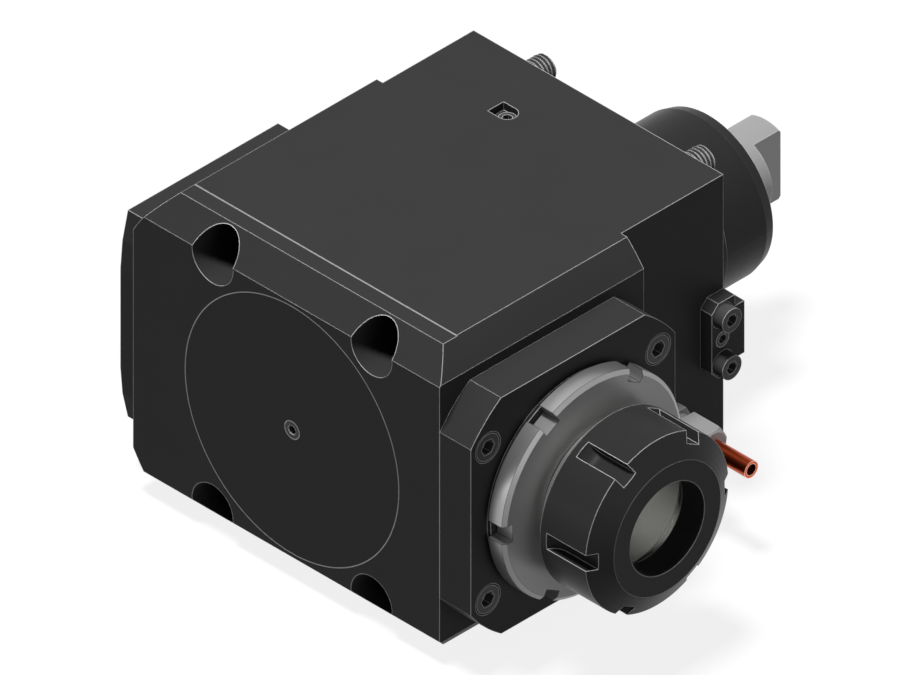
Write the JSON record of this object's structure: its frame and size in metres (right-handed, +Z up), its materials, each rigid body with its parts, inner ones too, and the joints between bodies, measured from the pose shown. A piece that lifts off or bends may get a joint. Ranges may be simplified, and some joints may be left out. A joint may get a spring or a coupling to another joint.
{
  "type": "live tool holder",
  "caption": "Right-angle driven tool holder: black steel block with a round shank and drive tang behind, and a collet nut spindle at right angles on a square flange.",
  "frame": {"origin": "shank axis where it leaves the mounting face", "axes": "+Y along the shank towards the drive tang, +X along the spindle towards the collet nut, +Z up"},
  "size_m": [0.201, 0.2092, 0.115],
  "materials": {
    "blackened_steel": "black oxide, satin",
    "collet_nut_steel": "black oxide, polished",
    "bright_steel": "ground",
    "screw_steel": "black oxide",
    "copper": "drawn copper tube",
    "nitrile_rubber": "moulded"
  },
  "bodies": {
    "housing": {"housing": "blackened_steel", "location_shank": "blackened_steel", "front_cover": "blackened_steel", "front_cover_seal": "nitrile_rubber", "front_cover_plug": "screw_steel", "mounting_bolts": "screw_steel", "spindle_front_outer_rings": "bright_steel", "spindle_rear_outer_ring": "bright_steel", "drive_front_outer_rings": "bright_steel", "drive_rear_outer_ring": "bright_steel", "pinion_bearing_retaining_ring": "bright_steel", "shaft_seal": "nitrile_rubber", "shaft_seal_retaining_ring": "bright_steel", "spindle_flange": "blackened_steel", "flange_screws": "screw_steel", "slotted_ring_nut": "bright_steel", "spindle_seal": "nitrile_rubber", "rear_cover": "blackened_steel", "rear_cover_screws": "screw_steel", "alignment_key": "blackened_steel", "alignment_key_screws": "screw_steel", "alignment_set_screw": "screw_steel", "top_plug_screw": "screw_steel", "coolant_nipple": "bright_steel", "coolant_union_nut": "bright_steel", "coolant_tube": "copper", "coolant_port_seal": "nitrile_rubber"},
    "spindle": {"spindle": "bright_steel", "spindle_bevel_gear": "bright_steel", "spindle_gear_key": "bright_steel", "spindle_spacer_sleeve": "bright_steel", "spindle_lock_nut": "bright_steel", "spindle_front_inner_rings": "bright_steel", "spindle_rear_inner_ring": "bright_steel"},
    "drive_shaft": {"drive_shaft": "bright_steel", "drive_bevel_gear": "bright_steel", "drive_gear_key": "bright_steel", "drive_gear_screw": "bright_steel", "drive_lock_nut": "bright_steel", "drive_front_inner_rings": "bright_steel", "drive_rear_inner_ring": "bright_steel"},
    "spindle_ball_rows": {"spindle_front_ball_rows": "bright_steel", "spindle_rear_ball_row": "bright_steel"},
    "drive_ball_rows": {"drive_front_ball_rows": "bright_steel", "drive_rear_ball_row": "bright_steel"},
    "pressing_ring": {"collet_pressing_ring": "bright_steel"},
    "collet_nut": {"collet_nut": "collet_nut_steel"}
  },
  "joints": [
    {"name": "spindle_spin", "type": "hinge", "parent": "housing", "child": "spindle", "pos_m": [0, -0.09, 0], "axis": [1, 0, 0], "continuous": true},
    {"name": "drive_spin", "type": "hinge", "parent": "housing", "child": "drive_shaft", "pos_m": [0, 0, 0], "axis": [0, 1, 0], "continuous": true},
    {"name": "spindle_balls_orbit", "type": "hinge", "parent": "housing", "child": "spindle_ball_rows", "pos_m": [0, -0.09, 0], "axis": [1, 0, 0], "continuous": true},
    {"name": "drive_balls_orbit", "type": "hinge", "parent": "housing", "child": "drive_ball_rows", "pos_m": [0, 0, 0], "axis": [0, 1, 0], "continuous": true},
    {"name": "nut_advance", "type": "slide", "parent": "spindle", "child": "pressing_ring", "axis": [1, 0, 0], "range_m": [0, 0.00985]},
    {"name": "nut_turn", "type": "hinge", "parent": "pressing_ring", "child": "collet_nut", "pos_m": [0.1, -0.09, 0], "axis": [1, 0, 0], "range_deg": [0, 2340]}
  ],
  "couplings": [
    {"joint": "drive_spin", "follows": "spindle_spin", "ratio": -1},
    {"joint": "spindle_balls_orbit", "follows": "spindle_spin", "ratio": 0.41667},
    {"joint": "drive_balls_orbit", "follows": "spindle_spin", "ratio": -0.41667},
    {"joint": "nut_advance", "follows": "nut_turn", "m_per_rad": 0.00023873}
  ]
}
